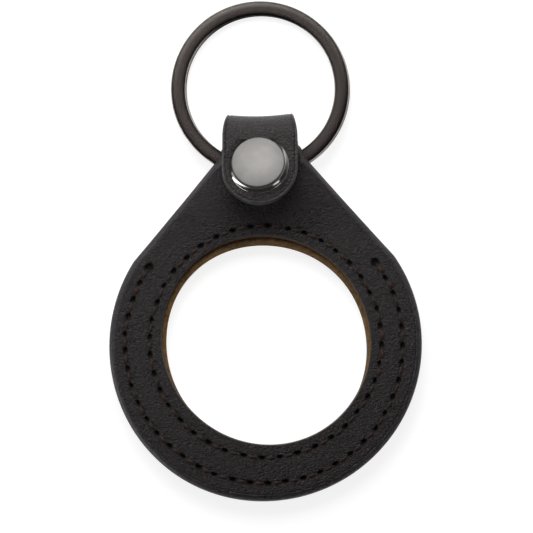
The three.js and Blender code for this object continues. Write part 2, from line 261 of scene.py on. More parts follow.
def stretch(start, end):
    """Points from start up to but not including end, evenly spaced."""
    start, end = np.array(start, float), np.array(end, float)
    count = max(1, math.ceil(np.linalg.norm(end - start) / STATION_SPACING))
    return start + (end - start) * (np.arange(count) / count)[:, None]


def bow(centre, radius, start, end):
    """Points on an arc from the start angle up to but not including the end angle."""
    count = max(1, math.ceil(radius * abs(end - start) / STATION_SPACING))
    angle = start + (end - start) * np.arange(count) / count
    return np.array(centre) + radius * np.stack([np.cos(angle), np.sin(angle)], -1)


def teardrop(half, end, corner):
    """Outline, anticlockwise: an arc between the shoulders, straight flanks that stand at a fixed
    distance from the centre, and a neck of the given half width with rounded corners. The trimmed
    rim was left a little wide at the lower left, by a bell."""
    shoulder = FLANK_NORMAL - math.acos(FLANK_DISTANCE / PANEL_RADIUS)
    neck = (FLANK_DISTANCE - half * math.cos(FLANK_NORMAL)) / math.sin(FLANK_NORMAL)
    side = PANEL_RADIUS * np.array([math.cos(shoulder), math.sin(shoulder)])
    mirror = np.array([-1.0, 1.0])
    right = [stretch(side, (half, neck)), stretch((half, neck), (half, end - corner))]
    left = [stretch((-half, end - corner), (-half, neck)), stretch((-half, neck), side * mirror)]
    tip = [stretch((half - corner, end), (corner - half, end))]
    if corner:
        tip = [bow((half - corner, end - corner), corner, 0, math.pi / 2), *tip,
               bow((corner - half, end - corner), corner, math.pi / 2, math.pi)]
    low = bow((0, 0), PANEL_RADIUS, math.pi - shoulder, TURN + shoulder)
    outline = np.concatenate([low, *right, *tip, *left])
    turned = np.arctan2(outline[:, 1:], outline[:, :1]) - RIM_SWELL_AT
    turned = (turned + math.pi) % TURN - math.pi
    return outline * (1 + RIM_SWELL / PANEL_RADIUS * bell(turned, RIM_SWELL_SPREAD))


HOLE_LENGTH = 0.52
HOLE_WIDTH = 0.32
HOLE_DEPTH = 0.75
HOLE_STRAY_ALONG = 0.035
HOLE_STRAY_ACROSS = 0.06
HOLE_SIZES = 0.85, 1.15
FURROW_WIDTH = 0.55
FURROW_DEPTH = 0.1
FURROW_FADE = 0.2, 1.2
SEAM_END = math.radians(35)
SEAM_END_HOLE = 1.35
SEAM_END_WIDER = 1.5


class Seam:
    """Sewn line on a circle: the angles of its stitch holes, each a little out of true, and the
    stitches that are sewn twice to lock its ends, where the holes are wider."""

    def __init__(self, centre, radius, start, sweep, stitches, twice, seed):
        draw = np.random.default_rng(seed)
        self.centre, self.radius, self.start, self.sweep = centre, radius, start, sweep
        self.closed, self.twice = sweep == TURN, twice
        self.step = sweep / stitches
        holes = stitches if self.closed else stitches + 1
        stray = draw.normal(0, HOLE_STRAY_ALONG, holes)
        self.angle = start + self.step * (np.arange(holes) + stray)
        self.offset = draw.normal(0, HOLE_STRAY_ACROSS, holes)
        self.size = draw.uniform(*HOLE_SIZES, holes)
        self.width = np.full(holes, HOLE_WIDTH)
        if not self.closed:
            self.size[[0, -1]] = SEAM_END_HOLE
            self.width[[0, -1]] *= SEAM_END_WIDER

    def pits(self, x, y):
        """How far each point lies in a stitch hole, 0 to 1, and in the furrow that the thread
        draws along the seam. A hole is a bell that is longer along the seam than across it,
        flattened by a sixth power. The furrow is a bell across the seam, faded past its ends."""
        x, y = x - self.centre[0], y - self.centre[1]
        turned = (np.arctan2(y, x) - self.start) % TURN
        turned = np.where(turned > self.sweep / 2 + math.pi, turned - TURN, turned)
        nearest = np.rint(turned / self.step).astype(int)
        last = len(self.angle)
        nearest = nearest % last if self.closed else np.clip(nearest, 0, last - 1)
        away = (turned + self.start - self.angle[nearest] + math.pi) % TURN - math.pi
        along = away * self.radius
        across = np.hypot(x, y) - self.radius - self.offset[nearest]
        size, width = self.size[nearest], self.width[nearest]
        pit = np.exp(-(((along / HOLE_LENGTH) ** 2 + (across / width) ** 2) / size ** 2) ** 3)
        past = 0 if self.closed else np.maximum(-turned, turned - self.sweep) * self.radius
        return pit, bell(across, FURROW_WIDTH) * (1 - smooth(past, *FURROW_FADE))


# Painted light: the paler grey grows towards the top of the holder and is left off around the
# snap, which paints the flap's shadow on the tongue.
PAINTED_LIGHT_MOST = 0.36
PAINTED_LIGHT_FROM_TO = -26.0, 8.0
PAINTED_FLAP_SHADOW_AT = 29.3
PAINTED_FLAP_SHADOW_FROM_TO = 8.0, 13.0
BURNISH_FROM_TO = CREASE_INSET - 0.1, CREASE_INSET + 0.15
SEWN_TO = 24.25
SQUARE_EDGE = 0.02
WALL_RAW = 1, 1, 1, 1, 0.95, 0.8, 0.3, 0, 0, 0
window_seam = Seam(centre=(-0.05, 0.22), radius=19.45, start=math.radians(-3.2), sweep=TURN,
                   stitches=40, twice=[-2, -1, 0], seed=11)
edge_seam = Seam(centre=(-0.28, -0.2), radius=23.3, start=math.pi - SEAM_END,
                 sweep=math.pi + 2 * SEAM_END, stitches=34, twice=[0, 1, -2, -1], seed=12)


def edge_drop(inset, rounding):
    """Depth of a rounded edge below the face: a quarter circle over the distance in from it."""
    short = np.clip(rounding - inset, 0, rounding)
    return rounding - np.sqrt(rounding ** 2 - short ** 2)


def window_wander(across, along):
    """How far the hand-cut window strays from a circle: a wave of two crests round it, from the
    cosine and sine of the place's angle."""
    return WINDOW_OVAL * np.cos(2 * (np.arctan2(along, across) - WINDOW_OVAL_AT))


def polar(outline):
    """Radius and direction of each point of an outline, and how squarely the outline crosses that
    direction: the cosine between the direction and the outline's normal."""
    radius = np.hypot(*outline.T)[:, None]
    direction = outline / radius
    tangent = np.roll(outline, -1, 0) - np.roll(outline, 1, 0)
    normal = np.stack([tangent[:, 1], -tangent[:, 0]], -1)
    normal /= np.linalg.norm(normal, axis=1)[:, None]
    return radius, direction, np.clip((normal * direction).sum(1), LEAST_LEAN, 1)[:, None]


def sewn_panel(name, outline, inside, side, rise, window_up=0.0):
    """Panel of radial sections. Each runs over the face from the window to the rim, round the rim,
    back along the inside and up the window's wall, which is raw up to its lip. The window's centre
    is raised by window_up. The face is lowered along the crease, along the seams and in the stitch
    holes, and rise lifts every point by its place on the holder. The holes and the crease are also
    marked for painted shade. A paler grey of painted light is marked more towards the top, and it
    is left off around the snap, which paints the flap's shadow there. The end that meets the strap
    has square edges."""
    rim, direction, lean = polar(outline)
    across, along = direction[:, :1], direction[:, 1:]
    every = np.ones_like(rim)
    at_end = (outline[:, 1:] > STRAP_START - HAIR) & (side < 0)
    rim_round, rim_drop, inner_round = (np.where(at_end, SQUARE_EDGE, size)
                                        for size in (RIM_ROUND, RIM_DROP, INNER_ROUND))
    window = WINDOW_RADIUS + window_up * along + window_wander(across, along)
    sewn = window + WINDOW_ROUND + (SEWN_TO - window - WINDOW_ROUND) * np.linspace(0, 1, 52)
    edge = rim - np.linspace(CREASE_INSET + 4 * CREASE_WIDTH, RIM_ROUND, 11) / lean
    bare = sewn[:, -1:] + (edge[:, :1] - sewn[:, -1:]) * np.linspace(0, 1, 12)[1:-1]
    turn = np.linspace(0, math.pi / 2, 7)[1:]
    low = np.linspace(0, math.pi / 2, 4)
    rounded = rim - rim_round / lean * (1 - np.sin(turn) ** RIM_BEVEL)
    lower = rim - inner_round / lean * (1 - np.cos(low))
    wall_foot = window - WINDOW_UNDERCUT
    under = lower[:, -1:] + (wall_foot - lower[:, -1:]) * np.linspace(0, 1, 8)[1:]
    rise_of_wall = np.linspace(0, 1, 6)[1:]
    wall = wall_foot + WINDOW_UNDERCUT * rise_of_wall
    lip = np.linspace(0, math.pi / 2, 6)[1:-1]
    edge_of_window = window + WINDOW_ROUND * (1 - np.cos(lip))
    face = np.concatenate([sewn, bare, edge], 1)
    radius = np.concatenate([face, rounded, lower, under, wall, edge_of_window], 1)
    x, y = radius * across, radius * along

    pits, furrows = zip(*(seam.pits(x, y) for seam in (window_seam, edge_seam)))
    pit = np.clip(pits[0] + pits[1], 0, 1)
    crease = bell((rim - radius) * lean - CREASE_INSET, CREASE_WIDTH)
    relief = -CREASE_DEPTH * crease - FURROW_DEPTH * (furrows[0] + furrows[1]) - HOLE_DEPTH * pit
    on_face = np.zeros(radius.shape[1])
    on_face[:face.shape[1]] = 1
    height = np.concatenate([
        PLY * np.ones_like(face), PLY - rim_drop * (1 - np.abs(np.cos(turn)) ** RIM_BEVEL),
        inner_round * (1 - np.sin(low)), 0 * under,
        (PLY - WINDOW_ROUND) * rise_of_wall * every,
        (PLY - WINDOW_ROUND * (1 - np.sin(lip))) * every], 1) + relief * on_face
    columns = radius.shape[1]
    from_side = STRAP_HALF - np.abs(x)
    is_outer = np.arange(columns) < face.shape[1] + len(turn)
    corner = np.where(is_outer, -edge_drop(from_side, STRAP_ROUND),
                      edge_drop(from_side, INNER_ROUND))
    height = height + np.where(at_end, corner, 0)
    on_wall = np.zeros(columns)
    on_wall[-len(WALL_RAW):] = WALL_RAW
    points = np.stack([x, y, inside + side * height + rise(x, y)], -1)
    burnished = 1 - smooth((rim - radius) * lean, *BURNISH_FROM_TO)
    # Painted light towards the top, and painted shadow under the flap where it is left off.
    painted_light = smooth(y, *PAINTED_LIGHT_FROM_TO) * smooth(np.hypot(x, y - PAINTED_FLAP_SHADOW_AT), *PAINTED_FLAP_SHADOW_FROM_TO)
    # The pit mark carries painted shade in the stitch holes and along the crease.
    marks = {"pit": np.maximum(pit, CREASE_PAINTED_SHADE * crease) * on_face, "cut": on_wall * every,
             "rim": burnished, "painted_light": PAINTED_LIGHT_MOST * painted_light}
    faces = grid_faces(*radius.shape, close_rows=True)
    return make_piece(name, points, faces, marks=marks)


def level(x, y):
    """No rise: the back lies flat."""
    return 0 * y


back_panel = sewn_panel("back_leather", teardrop(STRAP_HALF, STRAP_START, corner=0), inside=PLY,
                        side=-1, rise=level)
back_panel.data.materials.append(leather_finish)
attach(back_panel, "holder")
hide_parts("back_panel")

# Linings: two plies of undyed tan leather, one glued behind each face and sewn with it round the
# window, where their raw edges show. Round the sewn rim they meet; above it they stay apart as the
# pocket's mouth.
LINING = 0.8
FRONT_INSIDE = 3.3
LINING_RADIUS = 25.95
LINING_CUT = 20.5
LINING_HOLE = 17.03
LINING_HOLE_LEFT = -0.08
LINING_HOLE_DROP = 0.15
LINING_HOLE_WAVE = 0.1
LINING_SWELL = 0.145
LINING_SWELL_FROM_TO = 23.8, 25.2
LINING_SWELL_BELOW = -0.6, -0.5
LINING_WORN = 0.06
LINING_DYED_FROM_TO = LINING_RADIUS - 0.5, LINING_RADIUS - 0.1
LINING_TAN = (0.19, 0.112, 0.046, 1)
LINING_BROWN = (0.055, 0.028, 0.010, 1)


def tan_leather():
    """Flesh side and raw edge of tan leather: layered fibres and blotches. Points marked dyed are
    the outer edge, painted black when the rim was burnished."""
    material, shader, wire = new_finish("tan_leather", Specular_IOR_Level=0.2)
    place = wire.place()
    layers = wire.stretched(place, (1.0, 1.0, 7.0))
    fibres = wire.noise(layers, 1300, detail=4.0, roughness=0.65, distortion=0.4)
    blotch = wire.noise(place, 260, detail=3.0)
    shade = fibres.step(0.3, 0.7) * 0.65 + blotch.step(0.3, 0.7) * 0.35
    dyed = wire.mark("dyed")
    join(shader, Base_Color=dyed.blend(shade.blend(LINING_BROWN, LINING_TAN), LEATHER_DARK),
         Roughness=0.85 - dyed * 0.35,
         Normal=wire.relief(fibres, distance=0.00008, strength=0.8))
    return material


tan_finish = tan_leather()


def lining(name, glued, side):
    """Ply of radial sections from a hole that is cut by hand, a little off the window's centre and
    out of round by a wave of four crests, to a round rim that is cut straight above the window
    seam. Its free face swells towards the sewn rim, and the hole's two edges are worn back."""
    angle = np.linspace(0, TURN, 360, endpoint=False)[:, None]
    across, along = np.cos(angle), np.sin(angle)
    straight = np.where(along > 0, LINING_CUT / np.maximum(along, HAIR), LINING_RADIUS)
    rim = np.minimum(LINING_RADIUS, straight)
    hole = (LINING_HOLE - LINING_HOLE_LEFT * across - LINING_HOLE_DROP * along
            - LINING_HOLE_WAVE * np.cos(4 * angle) + window_wander(across, along))
    free = np.array([0, 0.03, 0.12, 0.3, 0.5, 0.7, 0.85, 0.93, 0.98, 1.0])
    count = len(free)
    face = hole + (rim - hole) * free
    wall = np.array([0.7, 0.3])
    radius = np.concatenate([face, rim + 0 * wall, face[:, ::-1], hole + 0 * wall], 1)
    sewn = smooth(radius, *LINING_SWELL_FROM_TO) * smooth(-along, *LINING_SWELL_BELOW)
    full = LINING + LINING_SWELL * sewn
    height = np.concatenate([full[:, :count], full[:, count:count + 2] * wall, 0 * face,
                             LINING * wall[::-1] + 0 * hole], 1)
    height[:, 0] -= LINING_WORN
    height[:, 2 * count + 1] += LINING_WORN
    points = np.stack([radius * across, radius * along, glued + side * height], -1)
    dyed = smooth(radius, *LINING_DYED_FROM_TO)
    faces = grid_faces(*radius.shape, close_rows=True)
    return make_piece(name, points, faces, marks={"dyed": dyed})


for name, glued, side in (("back_lining", PLY, 1), ("front_lining", FRONT_INSIDE, -1)):
    ply = lining(name + "_leather", glued, side)
    ply.data.materials.append(tan_finish)
    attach(ply, "holder")
    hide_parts(name)

# Front panel: the same face leather, sewn to the back round its rim, with a tongue at its top. The
# tongue lifts over the key ring and carries the lower half of the snap.
FRONT_WINDOW_UP = 0.5
TONGUE_HALF = 7.0
TONGUE_TIP = 33.7
TONGUE_CORNER = 2.0
RISE_START = 16.5
RISE_END = 26.5
RISE_HALF = 5.0
RISE_FOOT = 14.0
RISE_FALL = 0.75
LEAN = math.radians(6)
TONGUE_LEVEL = 5.414
TONGUE_LEVEL_AT = 30.05


def tongue_rise(x, y):
    """Lift of the tongue: a smooth step from the flat front up to a plane that leans with the
    ring, which falls again by a smooth step towards the flanks."""
    plane = TONGUE_LEVEL - math.tan(LEAN) * (y - TONGUE_LEVEL_AT)
    hump = 1 - RISE_FALL * smooth(np.abs(x), RISE_HALF, RISE_FOOT)
    return hump * smooth(y, RISE_START, RISE_END) * (plane - FRONT_INSIDE)


front_panel = sewn_panel("front_leather", teardrop(TONGUE_HALF, TONGUE_TIP, TONGUE_CORNER),
                         inside=FRONT_INSIDE, side=1, rise=tongue_rise, window_up=FRONT_WINDOW_UP)
front_panel.data.materials.append(leather_finish)
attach(front_panel, "holder")
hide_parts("front_panel")

# Seams: lockstitch in waxed brown thread of three twisted strands. Each stitch lies on the leather
# and dives into the holes at its ends. The front and the back show the same holes.
THREAD_RADIUS = 0.24
THREAD_STRANDS = 3
THREAD_TWIST = 3.2 * math.pi
THREAD_LOBE = 0.09
THREAD_CROWN = 0.1
BACK_SINK = 0.25
STITCH_DIVE = 1.8
STITCH_SLANT = 0.1
LOCK_ASIDE = 0.3
THREAD_BROWN = (0.040, 0.020, 0.014, 1)
# Darker between the strands: painted shade.
THREAD_PAINTED_SHADE = (0.007, 0.004, 0.003, 1)


def waxed_thread():
    """Waxed thread: painted shade between its strands, with fuzz along them."""
    material, shader, wire = new_finish("waxed_thread", Specular_IOR_Level=0.25)
    strand = wire.mark("strand")
    fuzz = wire.noise(wire.place(), 5200, detail=3.0, roughness=0.6)
    join(shader, Base_Color=(strand * 0.75 + fuzz * 0.35).blend(THREAD_PAINTED_SHADE, THREAD_BROWN),
         Roughness=0.5 + fuzz * 0.25,
         Normal=wire.relief(fuzz + strand, distance=0.00004, strength=0.6))
    return material


thread_finish = waxed_thread()


def tube_ends(rows, columns):
    """Flat ends of a tube's grid of points: its first section turned about, and its last."""
    section = np.arange(columns)
    return np.stack([section[::-1], section + (rows - 1) * columns])


def stitches(name, seam, face, side, rise, sink):
    """One tube for each stitch. Along it, the height falls by a square towards both holes, and the
    line slants across the seam; a stitch sewn again bows aside, and sink sets all of them deeper.
    The section is a circle with three lobes that wind along it."""
    along = np.linspace(0, 1, 15)[None, :]
    first, last = seam.angle, np.roll(seam.angle, -1)
    first_off, last_off = seam.offset, np.roll(seam.offset, -1)
    if seam.closed:
        last = np.where(last < first, last + TURN, last)
    else:
        first, last, first_off, last_off = first[:-1], last[:-1], first_off[:-1], last_off[:-1]
    pick = np.append(np.arange(len(first)), seam.twice)
    again = (np.arange(len(pick)) >= len(first))[:, None]
    first, last, first_off, last_off = (value[pick][:, None]
                                        for value in (first, last, first_off, last_off))
    angle = first + (last - first) * along
    radius = (seam.radius + first_off * (1 - along) + last_off * along
              + STITCH_SLANT * (along - 0.5) * 2 + again * LOCK_ASIDE * (1 - (2 * along - 1) ** 2))
    drop = sink + FURROW_DEPTH + STITCH_DIVE * (2 * along - 1) ** 2
    x = seam.centre[0] + radius * np.cos(angle)
    y = seam.centre[1] + radius * np.sin(angle)
    line = np.stack([x, y, face + rise(x, y) + side * (THREAD_CROWN - drop)], -1)
    tangent = np.gradient(line, axis=1)
    tangent /= np.linalg.norm(tangent, axis=-1)[..., None]
    aside = np.stack([np.cos(angle), np.sin(angle), 0 * angle], -1)
    up = np.cross(tangent, aside)
    around = np.linspace(0, TURN, 9, endpoint=False)
    lobe = np.cos(THREAD_STRANDS * around - THREAD_TWIST * along[..., None]) + 0 * angle[..., None]
    swell = THREAD_RADIUS * (1 + THREAD_LOBE * lobe)
    points = (line[:, :, None] + aside[:, :, None] * (swell * np.cos(around))[..., None]
              + up[:, :, None] * (swell * np.sin(around))[..., None])
    count, rows, columns = points.shape[:3]
    tube = grid_faces(rows, columns)
    shift = (np.arange(count) * rows * columns)[:, None, None]
    faces = (tube[None] + shift).reshape(-1, 4)
    caps = (tube_ends(rows, columns)[:, None] + shift[:, 0]).reshape(-1, columns)
    return make_piece(name, points, faces, caps, {"strand": lobe * 0.5 + 0.5}, sharp=70)


for name, seam in (("window_seam", window_seam), ("edge_seam", edge_seam)):
    for part, face, side, rise, sink in (("_back", 0.0, -1, level, BACK_SINK),
                                         ("_front", FRONT_INSIDE + PLY, 1, tongue_rise, 0.0)):
        sewing = stitches(name + part + "_stitches", seam, face, side, rise, sink)
        sewing.data.materials.append(thread_finish)
        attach(sewing, "holder")
        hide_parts(name + part)

# Key ring: flat spring-steel bar wound two turns, one on the other, plated in dark gunmetal and
# tumbled to a satin. It crosses from one turn to the other under the tongue.
RING_MEAN = 13.95
RING_WIDTH = 2.5
RING_TURN = 0.8
RING_LEVEL = 0.45
RING_SQUARENESS = 2.25
RING_OVAL = 1.03
RING_REACH = 28.04
RING_SLIP = 0.2, 0.13
RING_NEAR = np.array([0.0, 30.05, 3.8558])
CROSSOVER = math.radians(14)
# Paler plating: worn along the outer edge with a painted highlight there too; along the inner edge
# at the left and right and faintly over the far end it is painted highlight only.
RING_FAR_END_HIGHLIGHT = 0.08
RING_OUTSIDE_WEAR_AND_HIGHLIGHT = 0.75
RING_INSIDE_HIGHLIGHT = 0.9
RING_FACE_FROM_TO = 0.0, RING_WIDTH * 0.4
RING_EDGE_FROM_TO = RING_WIDTH * 0.42, RING_WIDTH * 0.475
RING_FAR_END_FROM_TO = -0.4, 1.0
RING_SIDES_FROM_TO = 0.5, 0.95
RING_GREY = (0.0178, 0.0152, 0.0144, 1)
RING_PALE_WEAR_AND_HIGHLIGHT = (0.66, 0.61, 0.56, 1)


def swung(a, b, angle):
    """Two coordinates turned by an angle from the second towards the first."""
    return a * math.cos(angle) + b * math.sin(angle), b * math.cos(angle) - a * math.sin(angle)


def tilted(points, at):
    """Points turned about X by the lean of the ring and the snap, and moved to their place."""
    x, y, z = np.moveaxis(np.asarray(points, float), -1, 0)
    return np.stack([x, *swung(y, z, LEAN)], -1) + at


def dark_gunmetal():
    """Dark plated steel: tumbled to a fine satin, and paler where the plating has worn and where a
    highlight is painted.
    """
    material, shader, wire = new_finish("dark_gunmetal", Metallic=1.0)
    place = wire.place()
    satin = wire.noise(place, 4200, detail=3.0, roughness=0.65)
    cloud = wire.noise(place, 240, detail=3.0)
    wear_and_highlight = wire.mark("wear_and_highlight") * (0.5 + cloud) + satin.step(0.55, 0.8) * 0.02
    join(shader, Base_Color=wear_and_highlight.blend(RING_GREY, RING_PALE_WEAR_AND_HIGHLIGHT),
         Roughness=0.2 + satin * 0.14 + cloud * 0.06,
         Normal=wire.relief(satin, distance=0.00007))
    return material


def squared(value, power):
    """Value with its size raised to a power and its sign kept."""
    return np.sign(value) * np.abs(value) ** power


def split_ring():
    """Bar with a squared oval section carried for almost two turns along a circle that use has
    pulled a little long. Its height goes from the lower turn to the upper one by a smooth step at
    the crossover, and the lower turn has slipped a little to the side. The plating is paler along
    the outer edge, where it is worn and a highlight is painted too. Along the inner edge at the
    left and right, and faintly over the far end, the paler plating is a painted highlight."""
    lay = TURN - 2 * CROSSOVER
    turned = np.linspace(0, 2 * lay + 2 * CROSSOVER, 300)[:, None]
    angle = turned + CROSSOVER - math.pi / 2
    upper = smooth(turned, lay, lay + 2 * CROSSOVER)
    slip_x, slip_y = (1 - upper) * RING_SLIP[0], (1 - upper) * RING_SLIP[1]
    around = np.linspace(0, TURN, 32, endpoint=False)
    bar_across = RING_WIDTH / 2 * squared(np.cos(around), 2 / RING_SQUARENESS)
    bar_high = RING_TURN / 2 * squared(np.sin(around), 2 / RING_SQUARENESS)
    radius = RING_MEAN + bar_across[None, :]
    points = np.stack([radius * np.cos(angle) + slip_x,
                       RING_REACH + RING_OVAL * (radius * np.sin(angle) - RING_MEAN) + slip_y,
                       RING_LEVEL * (2 * upper - 1) + bar_high[None, :]], -1)
    far_end = smooth(np.sin(angle), *RING_FAR_END_FROM_TO)
    left_right = smooth(np.abs(np.cos(angle)), *RING_SIDES_FROM_TO)
    wear_and_highlight = (RING_FAR_END_HIGHLIGHT * smooth(bar_across, *RING_FACE_FROM_TO) * far_end
            + RING_OUTSIDE_WEAR_AND_HIGHLIGHT * smooth(bar_across, *RING_EDGE_FROM_TO)
            + RING_INSIDE_HIGHLIGHT * smooth(-bar_across, *RING_EDGE_FROM_TO) * left_right)
    size = points.shape[:2]
    return make_piece("split_ring", tilted(points, RING_NEAR), grid_faces(*size), tube_ends(*size),
                      {"wear_and_highlight": wear_and_highlight})


ring = split_ring()
ring.data.materials.append(dark_gunmetal())
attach(ring, "ring")
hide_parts("key_ring")

# Strap: the end of the back panel's black leather, folded forward over the ring and held by the
# snap. It narrows at the bend, where its edges stand out, and ends in a round flap that carries
# the snap's cap. Its edges are creased too.
SNAP_AT = np.array([0.0, 29.3, 6.8931])
FLAP_TIP = -7.2
FLAP_MIDDLE = 3.35
FOLD_REACH = 4.1
FOLD_POWER = 2 / 2.5
FOLD_WAIST = 0.8
FOLD_SADDLE = 0.4
FLAP_ROOT = 3.97
FLAP_CREASE_INSET = 0.5
FLAP_CREASE_DEPTH = 0.1
FLAP_CREASE_WIDTH = 0.13
# Painted shade darkens the flap's crease.
FLAP_CREASE_PAINTED_SHADE = 0.6
# The flap takes more of the paler grey than the bend: painted light.
FLAP_PAINTED_LIGHT = 1.2
FLAP_BURNISH = 0.4
FLAP_SHIFT = -0.2
FLAP_SKEW = 0.03
OFF_FLAP = 99.0
TIP_DEGREES = 89.3
CAP_RADIUS = 5.0
CAP_SEAT = 3.93
CAP_SHIFT = np.array([-0.5, -0.55])
CAP_NOD = math.radians(6)
CAP_ROLL = math.radians(-4.5)
CAP_SEAT_FROM_TO = CAP_RADIUS - 0.3, CAP_RADIUS + 0.7


def strap_line():
    """Middle line of the strap and, for each of its points, how far it is in the bend, the
    distance past the centre of the round tip, the strap's half width, the place along the flap
    and the shift to the side. The bend is a squared half ellipse sheared to meet the leaning flap.
    The flap is straight and a little askew, and its rows crowd towards the tip."""
    angle = np.radians(np.linspace(-90, 90, 61))
    flap_start = tilted([0, FLAP_ROOT, FLAP_MIDDLE], SNAP_AT)
    middle = (PLY / 2 + flap_start[2]) / 2
    swing = smooth(angle, -math.pi / 2, math.pi / 2)
    out = FOLD_REACH * squared(np.cos(angle), FOLD_POWER)
    fold_y = STRAP_START + (flap_start[1] - STRAP_START) * swing + out
    fold_z = (middle + (flap_start[2] - middle) * squared(np.sin(angle), FOLD_POWER)
              - math.tan(LEAN) * out * swing)
    tip_centre = STRAP_HALF + FLAP_TIP
    tip = np.radians(np.linspace(0, TIP_DEGREES, 60))
    local = np.concatenate([np.linspace(FLAP_ROOT, tip_centre, 26)[1:-1],
                            tip_centre - STRAP_HALF * np.sin(tip)])
    flap = tilted(np.stack([0 * local, local, 0 * local + FLAP_MIDDLE], -1), SNAP_AT)
    line = np.concatenate([np.stack([fold_y, fold_z], -1), flap[:, 1:]])
    bend = np.concatenate([np.cos(angle) ** 2, 0 * local])
    past = np.concatenate([0 * angle, np.maximum(tip_centre - local, 0)])
    half = np.sqrt(np.maximum(STRAP_HALF ** 2 - past ** 2, 0)) - FOLD_WAIST * bend
    along = np.concatenate([0 * angle + OFF_FLAP, local])
    aside = np.concatenate([FLAP_SHIFT * swing, FLAP_SHIFT - FLAP_SKEW * (FLAP_ROOT - local)])
    return line, bend, past, half, along, aside


def folded_strap():
    """Sections across the strap line: the outer face, then the inner face. Each face drops to the
    wall by a quarter circle over the distance to the strap's outline, which is round at the tip.
    The bend's edges rise by a square across it, and the leather under the cap is pressed to it."""
    line, bend, past, half, along, aside = (value[:, None] for value in strap_line())
    line = line[:, 0]
    tangent = np.gradient(line, axis=0)
    tangent[0], tangent[-1] = (1, 0), (-math.cos(LEAN), math.sin(LEAN))
    tangent /= np.linalg.norm(tangent, axis=1)[:, None]
    across = np.sin(np.linspace(-math.pi / 2, math.pi / 2, 95))[None, :]
    x = half * across
    inset = np.where(past > 0, STRAP_HALF - np.hypot(x, past), half * (1 - np.abs(across)))
    inset = np.maximum(inset, 0)

    crease = bell(inset - FLAP_CREASE_INSET, FLAP_CREASE_WIDTH)
    cap_x, cap_y = x + aside - CAP_SHIFT[0], along - CAP_SHIFT[1]
    seat = CAP_SEAT - FLAP_MIDDLE - cap_y * math.tan(CAP_NOD) - cap_x * math.tan(CAP_ROLL)
    under_cap = 1 - smooth(np.hypot(cap_x, cap_y), *CAP_SEAT_FROM_TO)
    saddle = FOLD_SADDLE * bend * across ** 2
    outer = PLY / 2 - edge_drop(inset, STRAP_ROUND) - FLAP_CREASE_DEPTH * crease + saddle
    outer = outer + under_cap * (seat - outer)
    inner = edge_drop(inset, INNER_ROUND) - PLY / 2 + saddle
    height = np.concatenate([outer, inner[:, ::-1]], 1)
    wide = np.concatenate([x, x[:, ::-1]], 1) + aside
    points = np.stack([wide, line[:, :1] + tangent[:, 1:] * height,
                       line[:, 1:] - tangent[:, :1] * height], -1)
    bare = 0 * inner
    # The strap is painted lighter all over, most on the flap: painted light.
    marks = {"painted_light": 0 * height + FLAP_PAINTED_LIGHT - (FLAP_PAINTED_LIGHT - 1) * bend,
             # Painted shade along the flap's crease.
             "pit": np.concatenate([FLAP_CREASE_PAINTED_SHADE * crease, bare], 1),
             "rim": np.concatenate([FLAP_BURNISH * (inset < FLAP_CREASE_INSET), bare], 1)}
    size = height.shape
    return make_piece("strap_leather", points, grid_faces(*size), tube_ends(*size), marks)


strap = folded_strap()
strap.data.materials.append(leather_finish)
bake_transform(strap)
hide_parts("strap_fold", "strap_flap")

# Snap: a cap and socket riveted through the flap, a stud and eyelet riveted through the tongue,
# and a bent wire in the socket that grips the stud's neck. All are turned or drawn from plated
# brass; the cap's top is brushed to a pale satin and its skirt is left bright.
SNAP_GREY = (0.112, 0.108, 0.105, 1)
SNAP_BRIGHT = (0.38, 0.365, 0.35, 1)
CAP_TOP = 5.83
CAP_DOME = 46.0
CAP_TOP_RADII = 4.32, 4.2, 3.9, 3.5, 3.0, 2.5, 2.0, 1.0, 0.2
CAP_SATIN_FROM_TO = 4.5, 4.7
FITTING_SATIN = 0.5
SPRING_SATIN = 0.4
SPRING_WIRE = 0.22
SPRING_LEG = 1.77
SPRING_FROM_TO = -2.87, 1.46
SPRING_LEVEL = 0.92


def snap_metal():
    """Plated brass: fine speckle and clouding on satin parts, which are marked, and a bright
    smooth skirt elsewhere."""
    material, shader, wire = new_finish("snap_metal", Metallic=1.0)
    place = wire.place()
    satin = wire.mark("satin")
    speckle = wire.noise(place, 4200, detail=3.0, roughness=0.65)
    cloud = wire.noise(place, 420, detail=3.0, roughness=0.6)
    tone = satin * (0.9 + cloud * 0.15)
    join(shader, Base_Color=tone.blend(SNAP_BRIGHT, SNAP_GREY),
         Roughness=0.1 + satin * (0.29 + cloud * 0.03 + speckle * 0.08),
         Normal=wire.relief(speckle * satin, distance=0.000012, strength=0.5))
    return material


snap_finish = snap_metal()


def askew(points):
    """Points from the cap's seat up, rolled about Y and nodded about X as the cap sits."""
    x, y, z = points[..., 0], points[..., 1], points[..., 2] - CAP_SEAT
    x, z = swung(x, z, CAP_ROLL)
    y, z = swung(y, z, CAP_NOD)
    head = np.stack([x + CAP_SHIFT[0], y + CAP_SHIFT[1], z + CAP_SEAT], -1)
    return np.where(points[..., 2:] < CAP_SEAT - HAIR, points, head)


def lathed(name, profile, satin, bored, segments=72, shape=np.asarray):
    """Profile of radius and height turned about the snap's leaning axis, then shaped. A bored
    profile closes on itself, and another one ends in flat caps. Satin is how much of that finish
    the piece has, as one value or one for each point of the profile."""
    radius, height = (np.array(column)[:, None] for column in zip(*profile))
    angle = np.linspace(0, TURN, segments, endpoint=False)[None, :]
    x, y, z = radius * np.cos(angle), radius * np.sin(angle), height + 0 * angle
    points = tilted(shape(np.stack([x, y, z], -1)), SNAP_AT)
    caps = [] if bored else tube_ends(*z.shape)
    marks = {"satin": np.reshape(satin, (-1, 1)) + 0 * z}
    return make_piece(name, points, grid_faces(*z.shape, bored), caps, marks, sharp=50)


